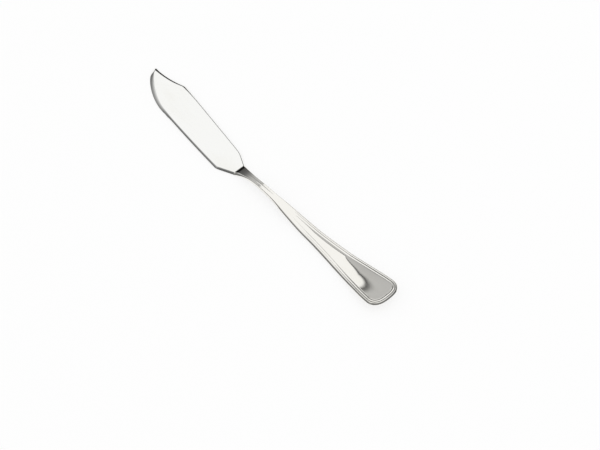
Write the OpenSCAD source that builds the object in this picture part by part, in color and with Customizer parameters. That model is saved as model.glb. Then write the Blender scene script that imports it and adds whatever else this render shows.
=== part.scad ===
// Fish knife in polished steel: a flat blade with a notched spine and a point,
// and a flat, fan-ended handle with a double thread border. All lengths in mm.
// +X runs to the point of the blade, +Y to its cutting side, +Z out of the face.
// The origin is on the handle's axis, under the middle of the blade's length, on
// its flat underside. The outlines below are measured from the shoulder, where the
// two pieces meet, and each piece is then moved to the origin.

/* [View] */
// Piece to draw

/* [Blade outline] */
// Length of the blade from the shoulder to the point
blade_l = 84.8; // [74:0.2:100]
// Distance from the shoulder to the heel corner on the cutting side
heel_belly_l = 9.4; // [7:0.1:14]
// Distance from the shoulder to the heel corner on the spine side
heel_spine_l = 7.7; // [6:0.1:12]
// Half width at the shoulder on the cutting side
shoulder_belly = 4.7; // [3.5:0.1:6]
// Half width at the shoulder on the spine side
shoulder_spine = 4.1; // [3.2:0.1:5.5]
// Distance from the axis to the heel corner on the cutting side
heel_belly = 9.1; // [7:0.1:11]
// Distance from the axis to the heel corner on the spine side
heel_spine = 8.1; // [7:0.1:11]
// Angle of the straight cutting edge to the axis
belly_sweep = 5.2; // [2:0.1:8]
// Outward bow of that edge between the heel corner and the curve
belly_bow = 0.3; // [0:0.05:0.6]
// Angle of the straight spine to the axis
spine_sweep = 8.6; // [5:0.1:11]
// Length of the curved part of the cutting edge, up to the point
curve_l = 25.6; // [22:0.1:30]
// Length of the notch from its corner to the point
notch_l = 21.1; // [16:0.1:21.5]
// Hollow of the notch
notch_hollow = 1.05; // [0.2:0.05:1.4]
// Distance of the point from the axis, on the spine side
point_offset = 12.3; // [11:0.1:13.5]
// Radius of the point
point_r = 0.7; // [0.4:0.05:1]
// Softening of the corners of the outline
corner_soft = 0.3; // [0.1:0.05:0.5]

/* [Blade section] */
// Thickness of the blade
blade_t = 1.6; // [1.3:0.05:2.2]
// Height of the upright edge below the rim
edge_t = 0.35; // [0.3:0.05:0.8]
// Width of the bevelled rim on the straight sides
rim_w = 1.2; // [0.8:0.05:1.8]
// Width of the bevelled rim round the point
rim_point_w = 2.2; // [1.5:0.05:2.6]
// Rounding of the lower edges
under_edge = 0.15; // [0.1:0.01:0.25]

/* [Handle outline] */
// Length of the handle from the shoulder
handle_l = 115.2; // [104:0.1:130]
// Width of the neck
neck_w = 4.2; // [3.2:0.1:5]
// Distance of the narrowest place from the shoulder
neck_l = 15; // [12:0.5:20]
// Width of the fan-shaped end
end_w = 19.6; // [16:0.1:23]
// Length of the rounded end
end_round_l = 6.9; // [5:0.1:8]

/* [Handle section] */
// Thickness of the neck
neck_t = 2.5; // [2.2:0.05:3.2]
// Thickness of the handle
handle_t = 2; // [1.9:0.05:2.6]
// Height of the neck's upper face above the table
neck_h = 4.7; // [4:0.1:6]
// Rise of the end above the low part of the handle
end_rise = 3.8; // [1:0.1:4.8]
// Height of the short step that the neck starts with
step_h = 0.5; // [0.2:0.05:0.8]
// Length of that step
step_l = 2.3; // [1.6:0.1:4]
// Distance from the shoulder to the highest place of the neck
crest_l = 24; // [18:0.5:30]
// Distance from the shoulder to the start of the low part
low_l = 58; // [52:1:68]
// Distance from the shoulder to the place where the end turns up
turn_l = 80; // [70:1:88]
// Width of the bevel along the handle's upper edge
handle_edge = 0.9; // [0.5:0.05:1]
// Height of that bevel
handle_edge_h = 0.75; // [0.4:0.05:0.9]
// Crown of the inner panel as a share of its half width
crown_share = 0.1; // [0.02:0.01:0.14]
// Most that the panel is crowned where it is wide
crown_h = 0.25; // [0.1:0.01:0.35]
// Distance from the shoulder to the place where the crown starts to flatten
crown_from = 93; // [80:1:100]
// Distance from the shoulder to the place where the panel is flat
crown_to = 115; // [104:1:118]
// Relief of the underside towards its edges
under_relief = 0.7; // [0.2:0.05:0.8]

/* [Thread border] */
// Width of the border with its two threads
border_w = 2.9; // [2.2:0.1:3.4]
// Fall of the border towards the edge
border_fall = 0.12; // [0:0.01:0.2]
// Height of the threads above their grooves
thread_h = 0.1; // [0.06:0.01:0.3]
// Distance from the shoulder where the threads start
thread_start = 34; // [20:1:44]
// Length over which the threads rise to full height
thread_fade = 12; // [6:1:30]

/* [Tang joint] */
// Length of the tang inside the neck
tang_l = 8; // [5:0.5:9]
// Width of the tang
tang_w = 2; // [1.4:0.1:2.2]
// Thickness of the tang
tang_t = 0.8; // [0.6:0.05:1]
// Gap round the tang, filled with brazing metal on the real piece
braze_gap = 0.05; // [0.03:0.01:0.1]

/* [Hidden] */
blade_steel = [0.80, 0.80, 0.79];
handle_steel = [0.70, 0.70, 0.69];

// Helpers shared by both pieces
function mix(a, b, s) = a + (b - a) * s;
function clamp(s) = max(0, min(1, s));
function ease(s) = let (c = clamp(s)) c * c * (3 - 2 * c);
function soft_min(a, b, e) = (a + b - sqrt(pow(a - b, 2) + 4 * e * e)) / 2;
function polar(r, a) = r * [cos(a), sin(a)];

// Outline of the blade: straight heel, sides and notch, softened where they meet
curve_x = blade_l - curve_l;
notch_x = blade_l - notch_l;
point_c = [blade_l - point_r, -point_offset];
point_spine_a = -97;
point_mid_a = -45;
notch_end = point_c + polar(point_r, point_spine_a);
function belly_heel(x) = mix(shoulder_belly, heel_belly, x / heel_belly_l);
function spine_heel(x) = mix(shoulder_spine, heel_spine, x / heel_spine_l);
function bow(s) = 4 * s * (1 - s);
function belly_line(x) = heel_belly - (x - heel_belly_l) * tan(belly_sweep)
    + belly_bow * bow(clamp((x - heel_belly_l) / (curve_x - heel_belly_l)));
function spine_line(x) = heel_spine + (x - heel_spine_l) * tan(spine_sweep);
function notch_line(x) = let (s = (x - notch_x) / (notch_end.x - notch_x))
    mix(spine_line(notch_x), -notch_end.y, s) - notch_hollow * bow(s);
function belly_y(x) = soft_min(belly_heel(x), belly_line(x), corner_soft);
function spine_y(x) = -soft_min(notch_line(x),
    soft_min(spine_heel(x), spine_line(x), corner_soft), corner_soft);

// The curved end of the cutting edge, square to the axis where it meets the point
curve_from = [curve_x, belly_y(curve_x)];
curve_to = point_c + polar(point_r, 0);
start_pull_share = 0.42;
end_pull_share = 0.4;
curve_p1 = curve_from + curve_l * start_pull_share * [1, -tan(belly_sweep)];
curve_p2 = curve_to + (curve_from.y - curve_to.y) * end_pull_share * [0, 1];
function curve_at(s) = pow(1 - s, 3) * curve_from + 3 * pow(1 - s, 2) * s * curve_p1
    + 3 * (1 - s) * s * s * curve_p2 + pow(s, 3) * curve_to;

// Stations of the blade from the shoulder to the middle of the point
heel_zone_share = 1.4;
heel_zone = heel_belly_l * heel_zone_share;
heel_n = 13;
side_n = 38;
tip_n = 64;
blade_n = 68;
function side_x(i) = i <= heel_n ? heel_zone * i / heel_n
    : mix(heel_zone, curve_x, (i - heel_n) / (side_n - heel_n));
function tip_s(i) = (i - side_n) / (tip_n - side_n);
function tip_x(i) = mix(curve_x, notch_end.x, tip_s(i));
function point_s(i) = (i - tip_n) / (blade_n - tip_n);
function blade_belly(i) = i <= side_n ? [side_x(i), belly_y(side_x(i))]
    : i <= tip_n ? curve_at(tip_s(i))
    : point_c + polar(point_r, mix(0, point_mid_a, point_s(i)));
function blade_spine(i) = i <= side_n ? [side_x(i), spine_y(side_x(i))]
    : i < tip_n ? [tip_x(i), spine_y(tip_x(i))]
    : point_c + polar(point_r, mix(point_spine_a, point_mid_a, point_s(i)));

// The centre line bends towards the point and stops short of it, so that the rim runs
// round it
centre_back = [4.4, -4.1];
centre_bend_share = 1.8;
centre_creep_share = 0.15;
function centre_curve(s) = pow(1 - s, 2) * side_end
    + 2 * (1 - s) * s * (point_c - centre_back * centre_bend_share)
    + s * s * (point_c - centre_back);
side_end = [curve_x, (belly_y(curve_x) + spine_y(curve_x)) / 2];
function blade_centre(i) = i <= side_n
    ? [side_x(i), (belly_y(side_x(i)) + spine_y(side_x(i))) / 2]
    : i <= tip_n ? centre_curve(tip_s(i))
    : point_c - centre_back * (1 - point_s(i) * centre_creep_share);
function blade_ring(j) = j <= blade_n ? blade_belly(j) : blade_spine(2 * blade_n - j);

// Rows of the blade from the underside round the edge to the face
rim_shares = [0, 0.3, 0.6, 0.85, 1];
rim_grow_share = 0.8;
rim_from_x = mix(heel_belly_l, curve_x, rim_grow_share);
rim_full_x = blade_l - curve_l / 2;
function rim_at(i) = mix(rim_w, rim_point_w,
    ease((blade_centre(i).x - rim_from_x) / (rim_full_x - rim_from_x)));
rim_curve = 1.4;
function bevel(s) = 1 - pow(1 - s, rim_curve);
blade_rows = 4 + len(rim_shares);
function blade_inset(i, k) = k == 1 ? under_edge : k <= 3 ? 0
    : rim_at(i) * rim_shares[k - 3];
function blade_z(k) = k <= 1 ? 0 : k == 2 ? under_edge : k == blade_rows - 1 ? blade_t
    : mix(edge_t, blade_t, bevel(rim_shares[k - 3]));

// Outline of the handle: concave neck, widening side, rounded end
round_x = handle_l - end_round_l;
width_at_shares = [0, 0.14, 0.25, 0.375, 0.52, 0.7, 0.845, 1];
width_shares = [0, 0.035, 0.155, 0.27, 0.37, 0.595, 0.83, 1];
width_last = len(width_shares) - 1;
function width_slope(n) = n == 0 || n == width_last ? 0
    : (width_shares[n + 1] - width_shares[n - 1])
    / (width_at_shares[n + 1] - width_at_shares[n - 1]);
function width_seg(s) = min(width_last - 1,
    len([for (v = width_at_shares) if (v <= s) v]) - 1);
function width_share(s) = let (n = width_seg(s),
    h = width_at_shares[n + 1] - width_at_shares[n],
    t = (s - width_at_shares[n]) / h)
    (1 + 2 * t) * pow(1 - t, 2) * width_shares[n]
    + t * pow(1 - t, 2) * h * width_slope(n)
    + t * t * (3 - 2 * t) * width_shares[n + 1]
    + t * t * (t - 1) * h * width_slope(n + 1);
neck_curve = 2.4;
function half_width(x, shoulder) = x < neck_l
    ? mix(neck_w / 2, shoulder, pow(1 - x / neck_l, neck_curve))
    : mix(neck_w, end_w, width_share((x - neck_l) / (round_x - neck_l))) / 2;

// Stations of the handle from the shoulder to the middle of the end
neck_n = 16;
straight_n = 52;
handle_n = 68;
neck_dense = 1.5;
round_along = 2.2;
round_across = 2.6;
function along_x(i) = i <= neck_n ? neck_l * pow(i / neck_n, neck_dense)
    : mix(neck_l, round_x, (i - neck_n) / (straight_n - neck_n));
function round_a(i) = 90 * (i - straight_n) / (handle_n - straight_n);
function handle_side(i, shoulder, side) = i <= straight_n
    ? [-along_x(i), side * half_width(along_x(i), shoulder)]
    : [-round_x - end_round_l * pow(sin(round_a(i)), 2 / round_along),
       side * end_w / 2 * pow(max(0, cos(round_a(i))), 2 / round_across)];
function handle_ring(j) = j <= handle_n ? handle_side(j, shoulder_belly, 1)
    : handle_side(2 * handle_n - j, shoulder_spine, -1);

// The centre line is drawn in at the end, so that the border runs round it
draw_in = end_w / 3;
draw_in_power = 8;
centre_stop = handle_l - 2 * border_w;
function handle_centre(i) = i <= straight_n
    ? [-along_x(i) + draw_in * pow(along_x(i) / round_x, draw_in_power),
       (handle_ring(i).y + handle_ring(2 * handle_n - i).y) / 2]
    : [-mix(round_x - draw_in, centre_stop, round_a(i) / 90), 0];

// Height of the handle's upper face and underside along its length
rise_ease = 0.05;
top_curve = 2.1;
under_curve = 2.6;
turn_curve = 1.4;
function rise(x, curve) = let (s = clamp(x / crest_l))
    1 - pow(1 - s * s * (1 + rise_ease) / (s + rise_ease), curve);
function fall(x) = ease((x - crest_l) / (low_l - crest_l));
function turn_up(x) =
    end_rise * pow(clamp((x - turn_l) / (handle_l - turn_l)), turn_curve);
function step_up(x) = step_h * ease(x / step_l);
function neck_up(x) = (neck_h - blade_t - step_h) * rise(x, top_curve);
function top_z(x) = turn_up(x) + (x < crest_l ? blade_t + step_up(x) + neck_up(x)
    : mix(neck_h, handle_t, fall(x)));
function under_z(x) = turn_up(x) + (neck_h - neck_t)
    * (x < crest_l ? rise(x, under_curve) : 1 - fall(x));

// Rows of the handle: underside, upright edge, border with its threads, panel
border_shares = [0, 0.02, 0.07, 0.14, 0.22, 0.34, 0.45, 0.55, 0.65, 0.76, 0.87, 0.97, 1];
thread_1_share = 0.34;
thread_gap_share = 0.42;
outer_dip_share = 0.6;
panel_shares = [0.8, 0.55, 0.28];
under_mid_share = 0.6;
border_row = 4;
panel_row = border_row + len(border_shares);
handle_rows = panel_row + len(panel_shares) + 1;
function threads_off(s) = (s - thread_1_share) / thread_gap_share;
function groove(s) = s < thread_1_share
    ? outer_dip_share * pow(1 - s / thread_1_share, 2)
    : pow(2 * (threads_off(s) - round(threads_off(s))), 2);
function grown(x) = ease((x - thread_start) / thread_fade);
function thread_at(x) = thread_h * grown(x);
function from_shoulder(x) = ease(x / neck_l * 2);
function edge_drop(x) = mix(blade_t - edge_t, handle_edge_h, from_shoulder(x));
function edge_w(x) = mix(rim_w, handle_edge, from_shoulder(x));
function edge_fall(x, d) = edge_drop(x) * (1 - bevel(clamp(d / edge_w(x))));
crown_soft = 0.03;
function crown(x, half) = soft_min(crown_share * half, crown_h, crown_soft)
    * grown(x) * (1 - ease((x - crown_from) / (crown_to - crown_from)));

// A point drawn in from the outline towards the centre line by a true distance. Round
// a sharp point, past the side station called last, the slant is shared out evenly.
reach_share = 0.8;
reach_soft = 0.05;
function across(ring, j, n, c) = let (t = ring[min(j + 1, 2 * n)] - ring[max(j - 1, 0)],
    d = c - ring[j])
    abs(t.x * d.y - t.y * d.x) / norm(t) / norm(d);
function slant(ring, j, n, last, c) = j <= last || j >= 2 * n - last
    ? across(ring, j, n, c)
    : mix(across(ring, last, n, c), across(ring, 2 * n - last, n, c),
        (j - last) / (n - last) / 2);
function draw_share(room, inner) = soft_min(1, reach_share * room / inner, reach_soft);
function drawn(ring, j, n, last, c, d, inner) = let (lean = slant(ring, j, n, last, c),
    inward = c - ring[j], room = norm(inward))
    ring[j] + inward / room * d * draw_share(room * lean, inner) / lean;

// Vertices of each piece by station and row; the centre rows are shared by both sides
blade_outline = [for (j = [0 : 2 * blade_n]) blade_ring(j)];
function blade_vertex(j, k) = let (i = min(j, 2 * blade_n - j), c = blade_centre(i))
    k == 0 || k == blade_rows - 1 ? [c.x, c.y, blade_z(k)]
    : concat(drawn(blade_outline, j, blade_n, tip_n, c, blade_inset(i, k), rim_at(i)),
        blade_z(k));

handle_outline = [for (j = [0 : 2 * handle_n]) handle_ring(j)];
function under_height(p, q) =
    under_z(-p.x) + under_relief * from_shoulder(-p.x) * q * q;
function border_height(p, s) = top_z(-p.x) - edge_fall(-p.x, s * border_w)
    - thread_at(-p.x) * groove(s) - border_fall * grown(-p.x) * pow(1 - s, 2);
function panel_height(p, q, half) = top_z(-p.x) - thread_at(-p.x) * groove(1)
    + crown(-p.x, half) * (1 - q * q);
function handle_vertex(j, k) = let (i = min(j, 2 * handle_n - j), c = handle_centre(i),
    side = k == 0 || k == handle_rows - 1 ? i : j,
    inner = drawn(handle_outline, side, handle_n, handle_n, c, border_w, border_w),
    q = k < panel_row ? 0 : k == handle_rows - 1 ? 0 : panel_shares[k - panel_row],
    s = k < border_row || k >= panel_row ? 0 : border_shares[k - border_row],
    p = k == 0 || k == handle_rows - 1 ? c
        : k == 1 ? mix(c, handle_outline[j], under_mid_share)
        : k == 2 ? drawn(handle_outline, j, handle_n, handle_n, c, handle_edge, border_w)
        : k >= panel_row ? mix(c, inner, q)
        : drawn(handle_outline, j, handle_n, handle_n, c, s * border_w, border_w))
    [p.x, p.y, k == 0 ? under_height(p, 0)
        : k == 1 ? under_height(p, under_mid_share)
        : k == 2 ? under_height(p, 1)
        : k == 3 ? under_height(p, 1) + under_edge
        : k < panel_row ? border_height(p, s)
        : panel_height(p, q, norm(inner - c))];

// Numbering of the vertices, and the triangles of a closed skin with a flat shoulder
function number(j, k, n, rows) = k == 0 ? min(j, 2 * n - j)
    : k == rows - 1 ? n + 1 + min(j, 2 * n - j)
    : 2 * (n + 1) + (k - 1) * (2 * n + 1) + j;
function triangles(n, rows) = let (cap = 2 * (n + 1) + (rows - 2) * (2 * n + 1))
    concat(
        [for (j = [0 : 2 * n - 1], k = [0 : rows - 2], half = [0, 1])
            half == 0 ? [number(j, k, n, rows), number(j + 1, k, n, rows),
                number(j + 1, k + 1, n, rows)]
            : [number(j, k, n, rows), number(j + 1, k + 1, n, rows),
                number(j, k + 1, n, rows)]],
        [for (k = [0 : rows - 2]) [cap, number(0, k, n, rows), number(0, k + 1, n, rows)]],
        [for (k = [0 : rows - 2])
            [cap, number(2 * n, k + 1, n, rows), number(2 * n, k, n, rows)]]);
function flipped(faces) = [for (f = faces) [f[0], f[2], f[1]]];
shoulder_middle = [0, (shoulder_belly - shoulder_spine) / 2, blade_t / 2];

// The tang leaves the shoulder in the middle of the blade and follows the neck
tang_mid_z = (top_z(tang_l) + under_z(tang_l)) / 2;
tang_tilt = atan((tang_mid_z - shoulder_middle.z) / tang_l);
module tang(gap, root) {
    translate(shoulder_middle)
        rotate([0, tang_tilt, 0])
            translate([-tang_l - gap, -tang_w / 2 - gap, -tang_t / 2 - gap])
                cube([tang_l + gap + root, tang_w + 2 * gap, tang_t + 2 * gap]);
}

module blade() {
    color(blade_steel) translate([-blade_l / 2, 0, 0]) {
        polyhedron(concat(
            [for (i = [0 : blade_n]) blade_vertex(i, 0)],
            [for (i = [0 : blade_n]) blade_vertex(i, blade_rows - 1)],
            [for (k = [1 : blade_rows - 2], j = [0 : 2 * blade_n]) blade_vertex(j, k)],
            [shoulder_middle]), triangles(blade_n, blade_rows));
        tang(0, blade_t / 2);
    }
}

module handle() {
    color(handle_steel) translate([-blade_l / 2, 0, 0])
        difference() {
            polyhedron(concat(
                [for (i = [0 : handle_n]) handle_vertex(i, 0)],
                [for (i = [0 : handle_n]) handle_vertex(i, handle_rows - 1)],
                [for (k = [1 : handle_rows - 2], j = [0 : 2 * handle_n]) handle_vertex(j, k)],
                [shoulder_middle]), flipped(triangles(handle_n, handle_rows)));
            tang(braze_gap, blade_t);
        }
}

blade();
handle();
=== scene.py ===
# %% [markdown]
# # A fish knife in polished steel
# A fish knife is a flat blade with a notched spine and a point, and a flat handle
# that arches up at the neck and widens like a fan. Nothing on it is flat grey: it
# is a mirror, and what we see is the room in it. So two things decide how it looks,
# the exact curve of each surface and the light that stands round it.
#
# The imported CAD model is loaded first. It gives the sizes that nothing may leave. It gives the
# sizes, and at the end the script prints how far the new pieces stand past its boxes.

# %% Load the imported knife
import math

import bmesh
import bpy
import numpy as np
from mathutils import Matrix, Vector


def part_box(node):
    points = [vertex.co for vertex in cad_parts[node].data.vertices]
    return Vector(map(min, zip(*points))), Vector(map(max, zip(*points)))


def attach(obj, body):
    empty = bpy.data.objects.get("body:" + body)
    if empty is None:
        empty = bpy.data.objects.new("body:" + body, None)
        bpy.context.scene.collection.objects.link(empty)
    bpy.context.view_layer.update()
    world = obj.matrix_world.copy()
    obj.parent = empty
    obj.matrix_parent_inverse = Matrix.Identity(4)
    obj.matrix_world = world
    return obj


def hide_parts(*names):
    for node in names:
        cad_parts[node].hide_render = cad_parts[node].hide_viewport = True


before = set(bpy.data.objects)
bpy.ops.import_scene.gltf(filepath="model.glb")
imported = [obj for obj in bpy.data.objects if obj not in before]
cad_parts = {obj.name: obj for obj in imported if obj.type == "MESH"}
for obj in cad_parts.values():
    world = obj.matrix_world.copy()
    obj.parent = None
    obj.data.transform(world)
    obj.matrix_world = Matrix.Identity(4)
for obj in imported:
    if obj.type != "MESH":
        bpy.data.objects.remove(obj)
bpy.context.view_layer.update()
print("pieces of the knife:", sorted(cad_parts))

# %% [markdown]
# ## Measures
# A cutler's drawing is in millimetres, and so are the values here, with one factor
# that turns them into Blender's metres. They are those of the part's source, with
# three small changes. The end rises 0.01 mm less and the corners are rounded
# 0.003 mm more, because a finer curve would stand out of the CAD's flat facets. The
# threads are lower along the handle and higher at its end. The neck is crowned by
# 0.05 mm. The reflections in the photograph ask for the last two.
# The drawing starts at the shoulder, where blade and handle meet, and the model's
# origin lies under the middle of the blade, so everything moves back by half of it.

# %% Measures in millimetres
MM = 0.001
BLADE = dict(length=84.8, thick=1.6, edge=0.35, heel_cut=(9.4, 9.1), heel_spine=(7.7, 8.1),
             cut_angle=5.2, cut_bow=0.3, spine_angle=8.6, curve=25.6, notch=21.1,
             hollow=1.05, point_off=12.3, point_round=0.7, corner=0.303,
             rim=1.2, rim_at_point=2.2, rim_curve=1.4, under_edge=0.15,
             notch_turn=-97, point_turn=-45, pull_start=0.42, pull_stop=0.4,
             middle_back=(4.4, -4.1), middle_bend=1.8, middle_creep=0.15)
POINT_PLACES = 24
ROOM_USED, ROOM_SOFT = 0.8, 0.05
SHOULDER = dict(cut=4.7, spine=4.1)
HANDLE = dict(length=115.2, neck_wide=4.2, neck_at=15.0, end_wide=19.6, end_round=6.9,
              neck_thick=2.5, thick=2.0, neck_high=4.7, end_rise=3.79, crest=24.0,
              low=58.0, turn=80.0, edge=0.9, edge_high=0.75, relief=0.7, border=2.9,
              border_fall=0.12, step_high=0.5, step=2.3, crown=0.1, crown_high=0.25,
              crown_soft=0.03, crown_from=93.0, crown_to=115.0, neck_curve=2.4,
              climb_start=0.05, top_curve=2.1, under_curve=2.6, turn_curve=1.4,
              end_along=2.2, end_across=2.6)
THREAD = dict(high=0.07, high_end=0.13, end_from=84.0, end_to=100.0, start=34.0, fade=12.0,
              first=0.34, gap=0.42, outer_dip=0.6)
NECK_CROWN = dict(high=0.05, start=6.0, stop=34.0)
FINGER_REST = dict(start=9.0, stop=34.0, fade_in=5.0, fade_out=10.0, duller=0.06)
TANG = dict(length=8.0, wide=2.0, thick=0.8, gap=0.05)
BACK = -BLADE["length"] / 2
print("overall length in mm:", BLADE["length"] + HANDLE["length"])

# %% [markdown]
# ## A few helpers
# Every curve on the knife comes from the same small set of sums: a blend between
# two values, a soft start and stop, and the smaller of two values with its corner
# rounded off. NumPy does them for a whole edge at once, which is short and quick.

# %% Sums that the curves are made of
def blend(a, b, share):
    return a + (b - a) * share


def hold(share):
    return np.clip(share, 0, 1)


def ease(share):
    s = hold(share)
    return s * s * (3 - 2 * s)


def smaller(a, b, soft):
    return (a + b - np.sqrt((a - b) ** 2 + 4 * soft * soft)) / 2


def turned(radius, degrees):
    a = np.radians(degrees)
    return np.stack([radius * np.cos(a), radius * np.sin(a)], -1)


def bevelled(share):
    return 1 - (1 - share) ** BLADE["rim_curve"]


print("ease of a quarter, a half, three quarters:", ease(np.array([0.25, 0.5, 0.75])))

# %% [markdown]
# ## The camera
# The photograph looks down on the knife at 55 degrees, from beside the handle's end,
# through a long lens. The camera stands a metre off and aims a little below the
# middle of the knife. Distance and lens together set how much the far end shrinks.

# %% The camera at the photograph's angle
CAMERA_ROUND, CAMERA_UP, CAMERA_FAR = math.radians(137.42), math.radians(55), 1.0
CAMERA_AIM = Vector((-90.75, 0.45, 0.15)) * MM
towards = Vector((math.cos(CAMERA_ROUND) * math.cos(CAMERA_UP),
                  math.sin(CAMERA_ROUND) * math.cos(CAMERA_UP), math.sin(CAMERA_UP)))
camera = bpy.data.objects.new("camera", bpy.data.cameras.new("camera"))
camera.data.sensor_width = 36
camera.data.lens = 114.29
camera.data.clip_start, camera.data.clip_end = 0.01, 50
camera.location = CAMERA_AIM + towards * CAMERA_FAR
camera.rotation_mode = "QUATERNION"
camera.rotation_quaternion = (-towards).to_track_quat("-Z", "Y")
bpy.context.collection.objects.link(camera)
bpy.context.scene.camera = camera
bpy.context.scene.view_settings.view_transform = "Standard"
print("camera stands at, in mm:", [round(v / MM) for v in camera.location])

# %% [markdown]
# ## Helpers for node trees
# Materials, the light round the knife and the shapes below are all node trees. Four
# small helpers keep them readable. One adds a node and fills its inputs, from plain
# numbers or from other nodes. One does a sum in a tree, one tells how far a
# direction points towards another, and one is a step with soft ends.

# %% Adding nodes
def node(tree, kind, inputs=None, **settings):
    made = tree.nodes.new(kind)
    for name, value in settings.items():
        setattr(made, name, value)
    for name, value in (inputs or {}).items():
        socket = made.inputs[name]
        if isinstance(value, bpy.types.NodeSocket):
            tree.links.new(value, socket)
        else:
            socket.default_value = value
    return made


def work(tree, sum_kind, *values, clamp=False):
    kind = "ShaderNodeMath"
    made = node(tree, kind, dict(enumerate(values)), operation=sum_kind, use_clamp=clamp)
    return made.outputs[0]


def along(tree, direction, towards_this):
    made = node(tree, "ShaderNodeVectorMath", {0: direction, 1: towards_this},
                operation="DOT_PRODUCT")
    return made.outputs["Value"]


def soft_step(tree, value, start, stop, low=0.0, high=1.0):
    made = node(tree, "ShaderNodeMapRange", {"Value": value, "From Min": start,
                "From Max": stop, "To Min": low, "To Max": high},
                interpolation_type="SMOOTHSTEP")
    return made.outputs["Result"]


print("node helpers ready")

# %% [markdown]
# ## The light round the knife
# A photographer lights cutlery with a white tent, and stands grey and black card at
# its foot, so that the steel has something dark to show at its edges. Lamps alone
# would leave a mirror nearly black with a few hot spots. Here the world is the tent:
# white overhead, a grey sweep on the far side that gets darker towards the table,
# with the tent's dark seam where the two meet, a pale sweep on the cutting side, and
# dark grey card behind the camera. Each side is a row of greys by height in degrees.
# Only mirror reflections see them. Everything else gets plain white light just
# below a strength of one, and the camera sees a white background.

# %% The tent that the steel mirrors
CARD_BLUE = 0.99


def grey_scale(tree, height, stops):
    ramp = node(tree, "ShaderNodeValToRGB", {"Fac": height})
    ramp.color_ramp.interpolation = "LINEAR"
    points = ramp.color_ramp.elements
    while len(points) < len(stops):
        points.new(0.5)
    for point, (degrees, value) in zip(points, stops):
        point.position = (math.sin(math.radians(degrees)) + 1) / 2
        point.color = (value, value, value * CARD_BLUE, 1)
    return ramp.outputs["Color"]


TENT_LEAN, TENT_LEAN_ROUND = math.radians(5), math.radians(-128)
PLAIN_LIGHT = 0.95
FAR_SIDE = [(-90, 0.95), (-1, 0.9), (0, 0.005), (8, 0.005), (18, 0.03), (33, 0.08),
            (35.6, 0.15), (37.7, 0.28), (39.8, 0.42), (42, 0.49), (47.2, 0.54), (47.35, 0.0),
            (47.95, 0.0), (48.1, 1.0), (90, 1.0)]
CUT_SIDE = [(-90, 0.95), (-1, 0.9), (0, 0.12), (10, 0.2), (20, 0.36), (30, 0.6), (40, 0.8),
            (48, 0.93), (56, 1.0), (90, 1.0)]
NEAR_SIDE = [(-90, 0.95), (-1, 0.9), (0, 0.06), (12, 0.1), (26, 0.16), (38, 0.24), (50, 0.36),
             (60, 0.7), (68, 1.0), (90, 1.0)]
world = bpy.data.worlds.new("light_tent")
world.use_nodes = True
bpy.context.scene.world = world
sky = world.node_tree
sky.nodes.clear()
look = node(sky, "ShaderNodeTexCoord").outputs["Generated"]
lean = (math.sin(TENT_LEAN) * math.cos(TENT_LEAN_ROUND),
        math.sin(TENT_LEAN) * math.sin(TENT_LEAN_ROUND), math.cos(TENT_LEAN))
height = work(sky, "MULTIPLY_ADD", along(sky, look, lean), 0.5, 0.5)
on_far_side = soft_step(sky, along(sky, look, (1, 0, 0)), -0.15, 0.15)
near = grey_scale(sky, height, NEAR_SIDE)
far = grey_scale(sky, height, FAR_SIDE)
on_cut_side = soft_step(sky, along(sky, look, (0, 1, 0)), -0.2, 0.0)
beside = node(sky, "ShaderNodeMixRGB", {"Fac": on_cut_side, "Color1": far,
              "Color2": grey_scale(sky, height, CUT_SIDE)})
tent = node(sky, "ShaderNodeMixRGB", {"Fac": on_far_side, "Color1": near,
            "Color2": beside.outputs[0]})
rays = node(sky, "ShaderNodeLightPath")
mirrored = work(sky, "MAXIMUM", rays.outputs["Is Glossy Ray"], rays.outputs["Is Transmission Ray"])
plain = node(sky, "ShaderNodeBackground", {"Color": (1, 1, 1, 1), "Strength": PLAIN_LIGHT})
white = node(sky, "ShaderNodeBackground", {"Color": (1, 1, 1, 1), "Strength": 1.0})
tent_light = node(sky, "ShaderNodeBackground", {"Color": tent.outputs[0], "Strength": 1.0})
seen = node(sky, "ShaderNodeMixShader", {0: rays.outputs["Is Camera Ray"],
            1: plain.outputs[0], 2: white.outputs[0]})
both = node(sky, "ShaderNodeMixShader", {0: mirrored, 1: seen.outputs[0],
            2: tent_light.outputs[0]})
node(sky, "ShaderNodeOutputWorld", {"Surface": both.outputs[0]})
print("tent made, far side with", len(FAR_SIDE), "steps of grey")

# %% [markdown]
# ## The table and one soft lamp
# The knife lies on a plain white table top. The table is a real surface, so it
# keeps the knife's soft shadow and shows white in the undersides of the edges. For
# the camera and the steel, two thirds of its white is its own glow, as of a table of
# lit milk glass, which keeps the shadow faint. It is clear from below, so that the
# back of the knife can be looked at too. One wide lamp adds a little direction to
# the shadow. The steel doesn't mirror it.

# %% Table top and lamp
GLOW = 0.65


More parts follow.
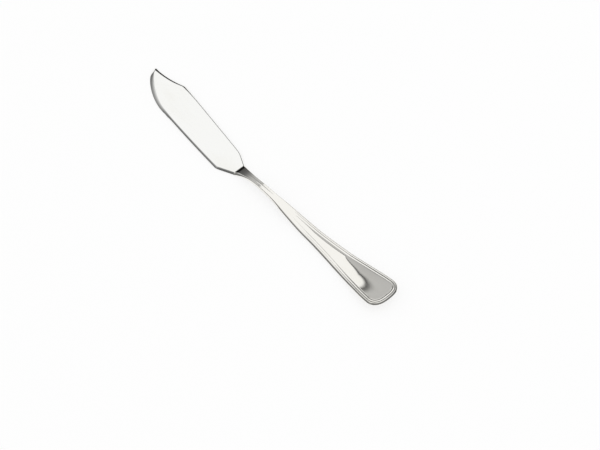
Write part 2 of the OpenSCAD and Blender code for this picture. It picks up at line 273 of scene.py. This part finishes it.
def table_top(size):
    half = size / 2
    mesh = bpy.data.meshes.new("table_top")
    corners = [(-half, -half, 0), (half, -half, 0), (half, half, 0), (-half, half, 0)]
    mesh.from_pydata(corners, [], [(0, 1, 2, 3)])
    made = bpy.data.objects.new("table_top", mesh)
    bpy.context.collection.objects.link(made)
    paint = bpy.data.materials.new("table_white")
    paint.use_nodes = True
    tree = paint.node_tree
    tree.nodes.clear()
    matt = node(tree, "ShaderNodeBsdfDiffuse", {"Color": (0.99, 0.99, 0.99, 1)})
    glow = node(tree, "ShaderNodeEmission", {"Color": (1, 1, 1, 1), "Strength": 1.0})
    clear = node(tree, "ShaderNodeBsdfTransparent")
    ray = node(tree, "ShaderNodeLightPath").outputs
    looked_at = work(tree, "MAXIMUM", ray["Is Camera Ray"], ray["Is Glossy Ray"])
    looked_at = work(tree, "MAXIMUM", looked_at, ray["Is Transmission Ray"])
    lit = node(tree, "ShaderNodeMixShader", {0: work(tree, "MULTIPLY", looked_at, GLOW),
               1: matt.outputs[0], 2: glow.outputs[0]})
    below = node(tree, "ShaderNodeNewGeometry").outputs["Backfacing"]
    both = node(tree, "ShaderNodeMixShader", {0: below, 1: lit.outputs[0], 2: clear.outputs[0]})
    node(tree, "ShaderNodeOutputMaterial", {"Surface": both.outputs[0]})
    mesh.materials.append(paint)
    return made


floor = table_top(6.0)
floor.location = (0, 0, -0.00002)
lamp = bpy.data.objects.new("soft_lamp", bpy.data.lights.new("soft_lamp", "AREA"))
lamp.data.shape = "DISK"
lamp.data.size = 1.2
lamp.data.energy = 1.0
lamp.location = (-0.3, -0.7, 1.5)
lamp.rotation_euler = (Vector((0, 0, 0)) - lamp.location).to_track_quat("-Z", "Y").to_euler()
lamp.visible_glossy = False
bpy.context.collection.objects.link(lamp)
print("table of", floor.dimensions.x, "m and a lamp of", lamp.data.size, "m")

# %% [markdown]
# ## The outline of the blade
# A blade is cut from flat steel along a drawn outline. The cutting side runs nearly
# straight and then sweeps round in one curve to the point. The spine runs straight
# to a corner, and from there a shallow hollow, the notch, leads to the point. Both
# sides open out from the shoulder in a straight heel. Each side is worked out as a
# row of places from the shoulder to the point, with more of them where it bends.

# %% Both edges of the blade
def tan_of(degrees):
    return math.tan(math.radians(degrees))


B = BLADE
curve_at = B["length"] - B["curve"]
notch_at = B["length"] - B["notch"]
point_middle = np.array([B["length"] - B["point_round"], -B["point_off"]])
notch_end = point_middle + turned(B["point_round"], B["notch_turn"])


def cut_side(x):
    heel = blend(SHOULDER["cut"], B["heel_cut"][1], x / B["heel_cut"][0])
    share = hold((x - B["heel_cut"][0]) / (curve_at - B["heel_cut"][0]))
    straight = (B["heel_cut"][1] - (x - B["heel_cut"][0]) * tan_of(B["cut_angle"])
                + B["cut_bow"] * 4 * share * (1 - share))
    return smaller(heel, straight, B["corner"])


def spine_straight(x):
    return B["heel_spine"][1] + (x - B["heel_spine"][0]) * tan_of(B["spine_angle"])


def spine_side(x):
    heel = blend(SHOULDER["spine"], B["heel_spine"][1], x / B["heel_spine"][0])
    share = (x - notch_at) / (notch_end[0] - notch_at)
    notch = (blend(spine_straight(notch_at), -notch_end[1], share)
             - B["hollow"] * 4 * share * (1 - share))
    side = smaller(heel, spine_straight(x), B["corner"])
    return -smaller(notch, side, B["corner"])


def cut_curve(share):
    start = np.array([curve_at, cut_side(np.array(curve_at))])
    stop = point_middle + turned(B["point_round"], 0)
    pull_start = start + B["curve"] * B["pull_start"] * np.array([1, -tan_of(B["cut_angle"])])
    pull_stop = stop + (start[1] - stop[1]) * B["pull_stop"] * np.array([0, 1])
    s = share[:, None]
    return ((1 - s) ** 3 * start + 3 * (1 - s) ** 2 * s * pull_start
            + 3 * (1 - s) * s * s * pull_stop + s ** 3 * stop)


def blade_edges():
    heels = 14
    x = np.concatenate([np.linspace(0, heels, 60, endpoint=False),
                        np.linspace(heels, curve_at, 90, endpoint=False)])
    share = np.linspace(0, 1, 120)
    around = np.linspace(0, 1, POINT_PLACES)[1:]
    cut = np.concatenate([np.stack([x, cut_side(x)], 1), cut_curve(share),
                          point_middle + turned(B["point_round"], B["point_turn"] * around)])
    x_tip = blend(curve_at, notch_end[0], share)
    spine = np.concatenate([np.stack([x, spine_side(x)], 1),
                            np.stack([x_tip, spine_side(x_tip)], 1),
                            point_middle + turned(B["point_round"], blend(
                                B["notch_turn"], B["point_turn"], around))])
    middle_x = np.stack([x, (cut_side(x) + spine_side(x)) / 2], 1)
    at = np.array(curve_at)
    start = np.array([curve_at, (cut_side(at) + spine_side(at)) / 2])
    back = np.array(B["middle_back"])
    s = share[:, None]
    to_point = ((1 - s) ** 2 * start
                + 2 * (1 - s) * s * (point_middle - B["middle_bend"] * back)
                + s * s * (point_middle - back))
    creep = 1 - B["middle_creep"] * around[:, None]
    middle = np.concatenate([middle_x, to_point, point_middle - back * creep])
    return cut, spine, middle


cut, spine, blade_middle = blade_edges()
print("places along each edge of the blade:", len(cut), len(spine), len(blade_middle))

# %% [markdown]
# ## Rows that follow the outline
# Both pieces are skins made of rows. A row is the outline drawn in by a true
# distance, as a jeweller scribes a line beside an edge, so a rim or a thread that
# lies on a row keeps its width round corners. Near the ends, where there is less
# room, the row is drawn in less. Round a sharp point the slant is shared out evenly.

# %% Drawing a row in from the edge
def ring_of(first, second):
    return np.concatenate([first, second[::-1][1:]])


def drawn_in(ring, middle, distance, deepest, last=None):
    step = np.empty_like(ring)
    step[1:-1] = ring[2:] - ring[:-2]
    step[0], step[-1] = ring[1] - ring[0], ring[-1] - ring[-2]
    inward = middle - ring
    room = np.linalg.norm(inward, axis=1)
    slant = (np.abs(step[:, 0] * inward[:, 1] - step[:, 1] * inward[:, 0])
             / np.linalg.norm(step, axis=1) / room)
    if last:
        beyond = len(ring) - 1 - last
        slant[last:beyond + 1] = np.linspace(slant[last], slant[beyond], beyond + 1 - last)
    share = smaller(1, ROOM_USED * room * slant / deepest, ROOM_SOFT)
    return ring + inward / room[:, None] * (distance * share / slant)[:, None]


def lifted(flat, height):
    return np.column_stack([flat, np.broadcast_to(height, len(flat))])


print("row helper ready")

# %% [markdown]
# ## A skin from rows
# The rows are joined into one mesh from the middle of the underside, round the edge
# and up to the middle of the face. The two middle rows are shared by both halves,
# so the skin has no seam there. Two numbers are stored at every point for the node
# trees that follow: its distance from the edge and its distance from the shoulder.

# %% Joining the rows
def skin(name, rows, from_edge, on_face):
    count, places = len(rows), len(rows[0])
    last = places // 2
    points, numbers = [], np.zeros((count, places), int)
    edge_values, face_values = [], []
    for k, row in enumerate(rows):
        middle_row = k in (0, count - 1)
        for j in range(places):
            if middle_row and j > last:
                numbers[k, j] = numbers[k, places - 1 - j]
                continue
            numbers[k, j] = len(points)
            points.append(row[j])
            edge_values.append(from_edge[k][j])
            face_values.append(on_face[k])
    faces = []
    for k in range(count - 1):
        for j in range(places - 1):
            loop = [numbers[k, j], numbers[k, j + 1], numbers[k + 1, j + 1], numbers[k + 1, j]]
            loop = [v for n, v in enumerate(loop) if v not in loop[:n]]
            if len(loop) > 2:
                faces.append(loop)
    points = np.array(points)
    mesh = bpy.data.meshes.new(name)
    mesh.from_pydata(((points + [BACK, 0, 0]) * MM).tolist(), [], faces)
    for title, values in (("from_edge", np.array(edge_values) * MM),
                          ("from_shoulder", np.abs(points[:, 0]) * MM),
                          ("on_face", np.array(face_values, float))):
        mesh.attributes.new(title, "FLOAT", "POINT").data.foreach_set(
            "value", values.astype(np.float32))
    made = bpy.data.objects.new(name, mesh)
    bpy.context.collection.objects.link(made)
    return made


print("skin helper ready")

# %% [markdown]
# ## The blade's skin
# The face of the blade is dead flat, and stays flat up to the rim. The rim is
# bevelled on all sides and gets wider round the point. The skin is laid out with a
# flat face here. Its rows lie close together where the rim will be ground down.

# %% The blade before its rim is bevelled
def blade_skin():
    ring = ring_of(cut, spine)
    middle = ring_of(blade_middle, blade_middle)
    x = middle[:, 0]
    start = blend(B["heel_cut"][0], curve_at, 0.8)
    stop = B["length"] - B["curve"] / 2
    rim = blend(B["rim"], B["rim_at_point"], ease((x - start) / (stop - start)))
    zero = np.zeros(len(ring))
    last_side = len(cut) - POINT_PLACES
    rows, from_edge, on_face = [], [], []

    def add(flat, height, distance, face):
        rows.append(lifted(flat, height))
        from_edge.append(distance)
        on_face.append(face)

    add(middle, 0, zero, 0)
    add(blend(middle, ring, 0.5), 0, zero, 0)
    for bend in np.radians(np.linspace(0, 90, 5)):
        inset = B["under_edge"] * (1 - math.sin(bend))
        add(drawn_in(ring, middle, zero + inset, rim, last_side),
            B["under_edge"] * (1 - math.cos(bend)), zero, 0)
    add(ring, blend(B["under_edge"], B["edge"], 0.5), zero, 0)
    for share in np.linspace(0, 1, 17):
        flat = drawn_in(ring, middle, rim * share, rim, last_side)
        add(flat, B["thick"], zero + share, 1)
    inner = drawn_in(ring, middle, rim, rim, last_side)
    for share in (0.04, 0.12, 0.3, 0.6, 1.0):
        add(blend(inner, middle, share), B["thick"], zero + 1, 1)
    return skin("blade_skin", rows, from_edge, on_face)


blade_blank = blade_skin()
print("blade skin has", len(blade_blank.data.polygons), "faces")

# %% [markdown]
# ## Node trees for shapes
# The rim and the threads each follow one rule all along their piece, which is what
# Geometry Nodes are for. A helper makes a tree with named inputs, and another puts
# the tree on a skin, sets those inputs, and keeps the result as a plain mesh.

# %% Making and using a shape tree
def shape_tree(title, names):
    tree = bpy.data.node_groups.new(title, "GeometryNodeTree")
    face = tree.interface
    face.new_socket("Skin", in_out="INPUT", socket_type="NodeSocketGeometry")
    for name in names:
        face.new_socket(name, in_out="INPUT", socket_type="NodeSocketFloat")
    face.new_socket("Steel", in_out="INPUT", socket_type="NodeSocketMaterial")
    face.new_socket("Skin", in_out="OUTPUT", socket_type="NodeSocketGeometry")
    return tree, node(tree, "NodeGroupInput").outputs


def stored(tree, title):
    return node(tree, "GeometryNodeInputNamedAttribute", {"Name": title},
                data_type="FLOAT").outputs["Attribute"]


def finish_tree(tree, inputs, drop):
    move = node(tree, "ShaderNodeCombineXYZ", {"Z": work(tree, "MULTIPLY", drop, -1.0)})
    moved = node(tree, "GeometryNodeSetPosition", {"Geometry": inputs["Skin"],
                 "Offset": move.outputs[0]})
    real = node(tree, "GeometryNodeRealizeInstances", {"Geometry": moved.outputs[0]})
    smooth = node(tree, "GeometryNodeSetShadeSmooth", {"Geometry": real.outputs[0]})
    steel = node(tree, "GeometryNodeSetMaterial", {"Geometry": smooth.outputs[0],
                 "Material": inputs["Steel"]})
    node(tree, "NodeGroupOutput", {"Skin": steel.outputs[0]})


def worked(blank, tree, sizes, steel, name):
    press = blank.modifiers.new("press", "NODES")
    press.node_group = tree
    for item in tree.interface.items_tree:
        if item.in_out == "INPUT" and item.name in sizes:
            press[item.identifier] = float(sizes[item.name])
        if item.in_out == "INPUT" and item.name == "Steel":
            press[item.identifier] = steel
    bpy.context.view_layer.update()
    result = blank.evaluated_get(bpy.context.evaluated_depsgraph_get())
    mesh = bpy.data.meshes.new_from_object(result)
    mesh.name = name
    made = bpy.data.objects.new(name, mesh)
    bpy.context.collection.objects.link(made)
    bpy.data.objects.remove(blank)
    return made


print("shape tree helpers ready")

# %% [markdown]
# ## Polished steel
# Table steel is ground, then buffed to a mirror, and years of washing and drying
# leave their marks on the polish. Four things show. Buffing leaves very long, low
# waves, so that straight reflections wander a little. Fine hairlines run mostly
# along the piece, with a few deeper ones. Wiping leaves faint duller patches. And
# the high places, the edges and the tops of the threads, are rubbed a shade
# rougher. On the handle there is a fifth: the neck, where the first finger rests,
# has lost some of its gloss. All of it lies in the roughness, the colour and a very
# low bump, at true size.

# %% The finish of polished steel
LONG_WAVE, HAIRLINE, SCRATCH, WIPED = (24, 12), (7, 0.09), (16, 0.16), (30, 9)
ROUGHER = dict(hairline=0.03, scratch=0.05, wiped=0.02, worn=0.05)
LIFTED = dict(wave=12.0, scratch=-0.6, hairline=0.25)
WIPED_TINT = (0.975, 0.97, 0.955)


def steel_finish(name, colour, gloss, seed, held=None):
    made = bpy.data.materials.new(name)
    made.use_nodes = True
    tree = made.node_tree
    tree.nodes.clear()
    place = node(tree, "ShaderNodeTexCoord").outputs["Object"]

    def grain(size, detail, offset):
        size_along, size_across = size
        scale = (1 / (size_along * MM), 1 / (size_across * MM), 1 / (size_across * MM))
        spot = node(tree, "ShaderNodeMapping", {"Vector": place, "Location": (seed + offset,) * 3,
                    "Scale": scale})
        cloud = node(tree, "ShaderNodeTexNoise", {"Vector": spot.outputs[0], "Scale": 1.0,
                     "Detail": detail, "Roughness": 0.55})
        return cloud.outputs["Fac"]

    wave = grain(LONG_WAVE, 1.0, 0.0)
    hairlines = grain(HAIRLINE, 2.0, 11.0)
    deeper = soft_step(tree, grain(SCRATCH, 1.0, 23.0), 0.68, 0.76)
    wiped = soft_step(tree, grain(WIPED, 3.0, 37.0), 0.45, 0.75)
    rubbed = node(tree, "ShaderNodeNewGeometry").outputs["Pointiness"]
    worn = soft_step(tree, rubbed, 0.505, 0.56)
    rough = work(tree, "MULTIPLY_ADD", hairlines, ROUGHER["hairline"],
                 gloss - ROUGHER["hairline"] / 2)
    rough = work(tree, "MULTIPLY_ADD", deeper, ROUGHER["scratch"], rough)
    rough = work(tree, "MULTIPLY_ADD", wiped, ROUGHER["wiped"], rough)
    rough = work(tree, "MULTIPLY_ADD", worn, ROUGHER["worn"], rough)
    if held:
        x = node(tree, "ShaderNodeSeparateXYZ", {"Vector": place}).outputs["X"]
        far, near = BACK - held["stop"], BACK - held["start"]
        fading_out = soft_step(tree, x, far * MM, (far + held["fade_out"]) * MM)
        fading_in = soft_step(tree, x, (near - held["fade_in"]) * MM, near * MM, 1.0, 0.0)
        finger = work(tree, "MULTIPLY", fading_out, fading_in)
        rough = work(tree, "MULTIPLY_ADD", finger, held["duller"], rough)
    duller_colour = [c * f for c, f in zip(colour, WIPED_TINT)]
    shade = node(tree, "ShaderNodeMixRGB", {"Fac": wiped, "Color1": (*colour, 1),
                 "Color2": (*duller_colour, 1)})
    relief = work(tree, "MULTIPLY_ADD", wave, LIFTED["wave"],
                  work(tree, "MULTIPLY", deeper, LIFTED["scratch"]))
    relief = work(tree, "MULTIPLY_ADD", hairlines, LIFTED["hairline"], relief)
    bump = node(tree, "ShaderNodeBump", {"Height": relief, "Strength": 0.15,
                "Distance": 0.002 * MM})
    metal = node(tree, "ShaderNodeBsdfPrincipled", {"Base Color": shade.outputs[0],
                 "Roughness": rough, "Normal": bump.outputs[0], "Metallic": 1.0})
    node(tree, "ShaderNodeOutputMaterial", {"Surface": metal.outputs[0]})
    return made


blade_polish = steel_finish("polished_steel_blade", (0.93, 0.93, 0.92), 0.05, 3.0)
handle_polish = steel_finish("polished_steel_handle", (0.915, 0.9, 0.865), 0.035, 19.0,
                             held=FINGER_REST)
print("finishes:", blade_polish.name, handle_polish.name)

# %% [markdown]
# ## Bevelling the rim
# On the real blade the rim is ground off and buffed, so the face turns down in a
# gentle curve that gets steeper. The tree reads how far each point of the face is
# from the edge and lowers it by that curve. Its named inputs are the height of the
# bevel and a power, where one is a straight slope and two is a round one.

# %% The bevelled rim
def rim_tree():
    tree, inputs = shape_tree("bevelled_rim", ["Bevel height", "Bevel curve"])
    away = work(tree, "SUBTRACT", 1.0, work(tree, "MULTIPLY", stored(tree, "from_edge"), 1 / MM),
                clamp=True)
    drop = work(tree, "MULTIPLY", inputs["Bevel height"],
                work(tree, "POWER", away, inputs["Bevel curve"]))
    finish_tree(tree, inputs, work(tree, "MULTIPLY", drop, stored(tree, "on_face")))
    return tree


bevel = {"Bevel height": (B["thick"] - B["edge"]) * MM, "Bevel curve": B["rim_curve"]}
blade = worked(blade_blank, rim_tree(), bevel, blade_polish, "fish_knife_blade")
print("blade faces:", len(blade.data.polygons))

# %% [markdown]
# ## The outline of the handle
# From the shoulder the handle draws in to a narrow neck, then widens all the way to
# its end. The widening isn't even, so it runs through a few measured widths with a
# smooth curve between them. The end is a rounded square, a superellipse, which is
# blunter than half a circle.

# %% Both edges of the handle
H = HANDLE
WIDEN_AT = np.array([0, 0.14, 0.25, 0.375, 0.52, 0.7, 0.845, 1])
WIDEN_BY = np.array([0, 0.035, 0.155, 0.27, 0.37, 0.595, 0.83, 1])
round_at = H["length"] - H["end_round"]


def widening(share):
    lean = np.zeros(len(WIDEN_BY))
    lean[1:-1] = (WIDEN_BY[2:] - WIDEN_BY[:-2]) / (WIDEN_AT[2:] - WIDEN_AT[:-2])
    n = np.clip(np.searchsorted(WIDEN_AT, share, side="right") - 1, 0, len(WIDEN_AT) - 2)
    gap = WIDEN_AT[n + 1] - WIDEN_AT[n]
    t = (share - WIDEN_AT[n]) / gap
    return ((1 + 2 * t) * (1 - t) ** 2 * WIDEN_BY[n] + t * (1 - t) ** 2 * gap * lean[n]
            + t * t * (3 - 2 * t) * WIDEN_BY[n + 1] + t * t * (t - 1) * gap * lean[n + 1])


def half_width(x, shoulder):
    to_neck = np.maximum(0, 1 - x / H["neck_at"])
    neck = blend(H["neck_wide"] / 2, shoulder, to_neck ** H["neck_curve"])
    share = hold((x - H["neck_at"]) / (round_at - H["neck_at"]))
    return np.where(x < H["neck_at"], neck,
                    blend(H["neck_wide"], H["end_wide"], widening(share)) / 2)


def handle_edges():
    x = np.concatenate([np.linspace(0, H["neck_at"], 60, endpoint=False),
                        np.linspace(H["neck_at"], round_at, 240)])
    around = np.linspace(0, 90, 81)[1:]
    turn = np.radians(around)
    end_x = -round_at - H["end_round"] * np.sin(turn) ** (2 / H["end_along"])
    end_y = H["end_wide"] / 2 * np.maximum(0, np.cos(turn)) ** (2 / H["end_across"])
    sides = []
    for shoulder, sign in ((SHOULDER["cut"], 1), (SHOULDER["spine"], -1)):
        flat = np.stack([-x, sign * half_width(x, shoulder)], 1)
        sides.append(np.concatenate([flat, np.stack([end_x, sign * end_y], 1)]))
    draw = H["end_wide"] / 3
    middle = np.stack([-x + draw * (x / round_at) ** 8,
                       (sides[0][:len(x), 1] + sides[1][:len(x), 1]) / 2], 1)
    stop = H["length"] - 2 * H["border"]
    end_middle = np.stack([-blend(round_at - draw, stop, around / 90), 0 * around], 1)
    return sides[0], sides[1], np.concatenate([middle, end_middle])


handle_cut, handle_spine, handle_middle = handle_edges()
print("places along each edge of the handle:", len(handle_cut))

# %% [markdown]
# ## The handle seen from the side
# A fish knife lies on its blade and on the low part of its handle. Between them the
# neck arches clear of the table: it climbs steeply just behind the shoulder, which
# is why a black band shows there, and falls slowly. The last part turns up again.
# The reflections follow these slopes, so they are the most carefully set values.

# %% Heights along the handle
def climb(x, curve):
    s = hold(x / H["crest"])
    soft = H["climb_start"]
    return 1 - (1 - s * s * (1 + soft) / (s + soft)) ** curve


def fall(x):
    return ease((x - H["crest"]) / (H["low"] - H["crest"]))


def turn_up(x):
    share = hold((x - H["turn"]) / (H["length"] - H["turn"]))
    return H["end_rise"] * share ** H["turn_curve"]


def top_height(x):
    step = H["step_high"] * ease(x / H["step"])
    rise = H["neck_high"] - B["thick"] - H["step_high"]
    neck = B["thick"] + step + rise * climb(x, H["top_curve"])
    back = blend(H["neck_high"], H["thick"], fall(x))
    return turn_up(x) + np.where(x < H["crest"], neck, back)


def under_height(x):
    arch = np.where(x < H["crest"], climb(x, H["under_curve"]), 1 - fall(x))
    return turn_up(x) + (H["neck_high"] - H["neck_thick"]) * arch


def past_shoulder(x):
    return ease(x / H["neck_at"] * 2)


def grown(x):
    return ease((x - THREAD["start"]) / THREAD["fade"])


def edge_roll(x, distance):
    drop = blend(B["thick"] - B["edge"], H["edge_high"], past_shoulder(x))
    wide = blend(B["rim"], H["edge"], past_shoulder(x))
    return drop * (1 - bevelled(hold(distance / wide)))


print("top of the neck in mm:", float(top_height(np.array(H["crest"]))))

# %% [markdown]
# ## The handle's skin
# The skin starts in the middle of the underside, which is a little hollow, goes
# round the edge, crosses the border and ends in the middle of the face. The panel
# inside the border is slightly crowned, as pressed handles are. The border is left
# plain here, with rows close enough together to take the threads.

# %% The handle before its threads are pressed
def handle_skin():
    ring = ring_of(handle_cut, handle_spine)
    middle = ring_of(handle_middle, handle_middle)
    border = H["border"]
    zero = np.zeros(len(ring))
    rows, from_edge, on_face = [], [], []

    def add(flat, height, distance, face):
        rows.append(lifted(flat, height))
        from_edge.append(distance)
        on_face.append(face)

    def under(flat, share):
        x = -flat[:, 0]
        return under_height(x) + H["relief"] * past_shoulder(x) * share * share

    for share in (0, 0.3, 0.6, 0.85):
        flat = blend(middle, ring, share)
        add(flat, under(flat, share), zero, 0)
    for bend in np.radians(np.linspace(0, 90, 5)):
        flat = drawn_in(ring, middle, zero + H["edge"] * (1 - math.sin(bend)), border)
        add(flat, under(flat, 1) + B["under_edge"] * (1 - math.cos(bend)), zero, 0)
    edge_share = H["edge"] / border
    shares = np.concatenate([edge_share * (1 - np.cos(np.radians(np.linspace(0, 90, 9)))),
                             np.linspace(edge_share, 1, 34)[1:]])
    for share in shares:
        flat = drawn_in(ring, middle, zero + share * border, border)
        x = -flat[:, 0]
        fall_off = H["border_fall"] * grown(x) * (1 - share) ** 2
        add(flat, top_height(x) - edge_roll(x, share * border) - fall_off,
            zero + share * border, 1)
    inner = drawn_in(ring, middle, zero + border, border)
    half = np.linalg.norm(inner - middle, axis=1)
    for q in (1 - np.linspace(0, 1, 26)[1:]):
        flat = blend(middle, inner, q)
        x = -flat[:, 0]
        left = 1 - ease((x - H["crown_from"]) / (H["crown_to"] - H["crown_from"]))
        crown = smaller(H["crown"] * half, H["crown_high"], H["crown_soft"]) * grown(x) * left
        past = hold((x - NECK_CROWN["start"]) / (NECK_CROWN["stop"] - NECK_CROWN["start"]))
        crown = crown + NECK_CROWN["high"] * (4 * past * (1 - past)) ** 2
        add(flat, top_height(x) + crown * (1 - q * q), zero + border, 1)
    return skin("handle_skin", rows, from_edge, on_face)


handle_blank = handle_skin()
print("handle skin has", len(handle_blank.data.polygons), "faces")

# %% [markdown]
# ## Pressing the threads
# Silversmiths call the raised lines along the border of a handle threads. Two of
# them run side by side, all the way round the end, and die out at the neck. They
# repeat one profile beside the edge, so a tree presses them: the outer slope is a
# curve that falls to the edge, and the two threads are one wave. The tree's named
# inputs are their height along the handle and at its end, their spacing, and where
# they start.

# %% The pressed threads
def thread_tree():
    tree, inputs = shape_tree("pressed_threads", ["Thread height", "Height at end", "End from",
                              "End to", "Border width", "First thread", "Thread gap",
                              "Outer dip", "Start", "Fade"])
    share = work(tree, "DIVIDE", stored(tree, "from_edge"), inputs["Border width"], clamp=True)
    outer = work(tree, "SUBTRACT", 1.0, work(tree, "DIVIDE", share, inputs["First thread"]))
    outer = work(tree, "MULTIPLY", inputs["Outer dip"], work(tree, "MULTIPLY", outer, outer))
    turns = work(tree, "DIVIDE", work(tree, "SUBTRACT", share, inputs["First thread"]),
                 inputs["Thread gap"])
    off_top = work(tree, "MULTIPLY", work(tree, "SUBTRACT", turns,
                   work(tree, "ROUND", turns)), 2.0)
    wave = work(tree, "MULTIPLY", off_top, off_top)
    inside = work(tree, "GREATER_THAN", share, inputs["First thread"])
    depth = work(tree, "ADD", work(tree, "MULTIPLY", inside, wave),
                 work(tree, "MULTIPLY", work(tree, "SUBTRACT", 1.0, inside), outer))
    grown = work(tree, "DIVIDE", work(tree, "SUBTRACT", stored(tree, "from_shoulder"),
                 inputs["Start"]), inputs["Fade"])
    grown = soft_step(tree, grown, 0.0, 1.0)
    high = node(tree, "ShaderNodeMapRange", {"Value": stored(tree, "from_shoulder"),
                "From Min": inputs["End from"], "From Max": inputs["End to"],
                "To Min": inputs["Thread height"], "To Max": inputs["Height at end"]},
                interpolation_type="SMOOTHSTEP").outputs["Result"]
    drop = work(tree, "MULTIPLY", work(tree, "MULTIPLY", depth, grown), high)
    finish_tree(tree, inputs, work(tree, "MULTIPLY", drop, stored(tree, "on_face")))
    return tree


threads = {"Thread height": THREAD["high"] * MM, "Height at end": THREAD["high_end"] * MM,
           "End from": THREAD["end_from"] * MM, "End to": THREAD["end_to"] * MM,
           "Border width": H["border"] * MM,
           "First thread": THREAD["first"], "Thread gap": THREAD["gap"],
           "Outer dip": THREAD["outer_dip"], "Start": THREAD["start"] * MM,
           "Fade": THREAD["fade"] * MM}
handle = worked(handle_blank, thread_tree(), threads, handle_polish, "fish_knife_handle")
print("handle faces:", len(handle.data.polygons))

# %% [markdown]
# ## Shoulder, tang and slot
# A tongue on the blade, the tang, goes into a slot in the neck, and the two are
# brazed and polished over. Nobody sees it once it is joined, but without it the two
# pieces would only touch. Each skin is still open at the shoulder. The opening is
# filled round a small oblong, and the oblong is drawn back into the neck: on the
# blade it makes the tang, and on the handle the slot, a hair wider.

# %% Closing both skins at the shoulder
def close_shoulder(piece, gap):
    mesh = bmesh.new()
    mesh.from_mesh(piece.data)
    bmesh.ops.remove_doubles(mesh, verts=mesh.verts, dist=1e-8)
    open_edges = [e for e in mesh.edges if e.is_boundary]
    at_end = np.array(TANG["length"])
    deep = float(top_height(at_end) + under_height(at_end)) / 2
    tilt = math.atan((deep - B["thick"] / 2) / TANG["length"])
    centre = Vector((0, (SHOULDER["cut"] - SHOULDER["spine"]) / 2, B["thick"] / 2))
    half_wide, half_thick = TANG["wide"] / 2 + gap, TANG["thick"] / 2 + gap
    back = Vector((-math.cos(tilt), 0, math.sin(tilt))) * (TANG["length"] + gap)
    up = Vector((math.sin(tilt), 0, math.cos(tilt))) * half_thick
    mouth, bottom = [], []
    for side, rise in ((-1, -1), (1, -1), (1, 1), (-1, 1)):
        wide = Vector((0, side * half_wide, 0))
        near = centre + wide + Vector((0, 0, rise * half_thick / math.cos(tilt)))
        far = centre + wide + back + up * rise
        for corner, place in ((near, mouth), (far, bottom)):
            place.append(mesh.verts.new((corner + Vector((BACK, 0, 0))) * MM))
    rim = [mesh.edges.new((mouth[n], mouth[(n + 1) % 4])) for n in range(4)]
    bmesh.ops.triangle_fill(mesh, edges=open_edges + rim, use_beauty=True,
                            normal=Vector((1, 0, 0)))
    for n in range(4):
        m = (n + 1) % 4
        mesh.faces.new((mouth[n], mouth[m], bottom[m], bottom[n]))
    mesh.faces.new(bottom)
    bmesh.ops.recalc_face_normals(mesh, faces=mesh.faces)
    left_open = sum(1 for e in mesh.edges if not e.is_manifold)
    mesh.to_mesh(piece.data)
    mesh.free()
    piece.data.set_sharp_from_angle(angle=math.radians(40))
    return left_open


print("edges left open on the blade:", close_shoulder(blade, 0.0))
print("edges left open on the handle:", close_shoulder(handle, TANG["gap"]))

# %% [markdown]
# ## Joining the pieces to the model
# The two finished pieces stand for the two CAD pieces, which are hidden. Each rides on the knife's
# one body.

# %% Hand the pieces over
for piece, cad_name, steel_slot in ((blade, "blade", "blade_steel"),
                                    (handle, "handle", "handle_steel")):
    for leftover in ("from_edge", "from_shoulder", "on_face"):
        if leftover in piece.data.attributes:
            piece.data.attributes.remove(piece.data.attributes[leftover])
    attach(piece, "root")
    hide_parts(cad_name)
    low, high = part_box(cad_name)
    mine = np.array([v.co for v in piece.data.vertices])
    out = np.concatenate([np.array(low) - mine.min(0), mine.max(0) - np.array(high)])
    print(piece.name, "past its CAD box, in mm:", (out / MM).round(3).tolist())
